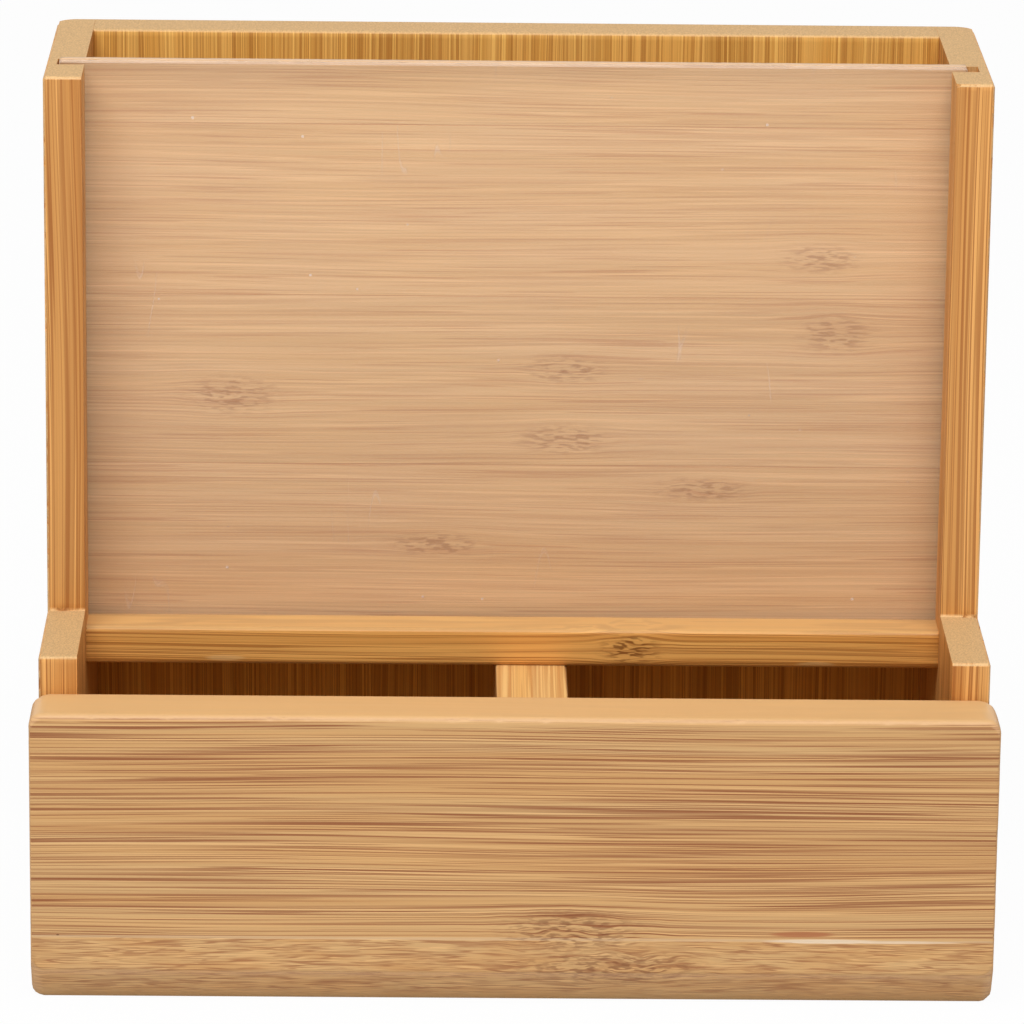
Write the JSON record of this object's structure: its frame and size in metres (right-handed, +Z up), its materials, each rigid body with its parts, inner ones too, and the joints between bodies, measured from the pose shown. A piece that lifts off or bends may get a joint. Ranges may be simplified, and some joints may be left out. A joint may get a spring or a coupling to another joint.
{
  "type": "desk organizer",
  "caption": "Bamboo desk organizer: picture frame with lift-out clear sheet above divided front cells, with a tall slot behind.",
  "frame": {"origin": "middle of the underside, on the surface that it stands on", "axes": "+X to the right seen from the front, +Y to the rear, +Z up"},
  "size_m": [0.162, 0.0874, 0.1509],
  "materials": {
    "side_bamboo": "satin lacquer",
    "back_bamboo": "satin lacquer",
    "base_bamboo": "satin lacquer",
    "front_bamboo": "satin lacquer",
    "divider_bamboo": "satin lacquer",
    "rail_bamboo": "satin lacquer",
    "backing_bamboo": "satin lacquer",
    "dowel_wood": "bare",
    "clear_acrylic": "slightly hazy, scratched"
  },
  "bodies": {
    "box": {"left_side_panel": "side_bamboo", "right_side_panel": "side_bamboo", "back_panel": "back_bamboo", "base_panel": "base_bamboo", "front_panel": "front_bamboo", "centre_divider": "divider_bamboo", "frame_rail": "rail_bamboo", "dowel_pins": "dowel_wood"},
    "sheet": {"clear_sheet": "clear_acrylic"},
    "board": {"backing_board": "backing_bamboo"}
  },
  "joints": [
    {"name": "sheet_lift", "type": "slide", "parent": "box", "child": "sheet", "axis": [0, 0, 1], "range_m": [0, 0.105]},
    {"name": "board_lift", "type": "slide", "parent": "box", "child": "board", "axis": [0, 0, 1], "range_m": [0, 0.105]}
  ]
}
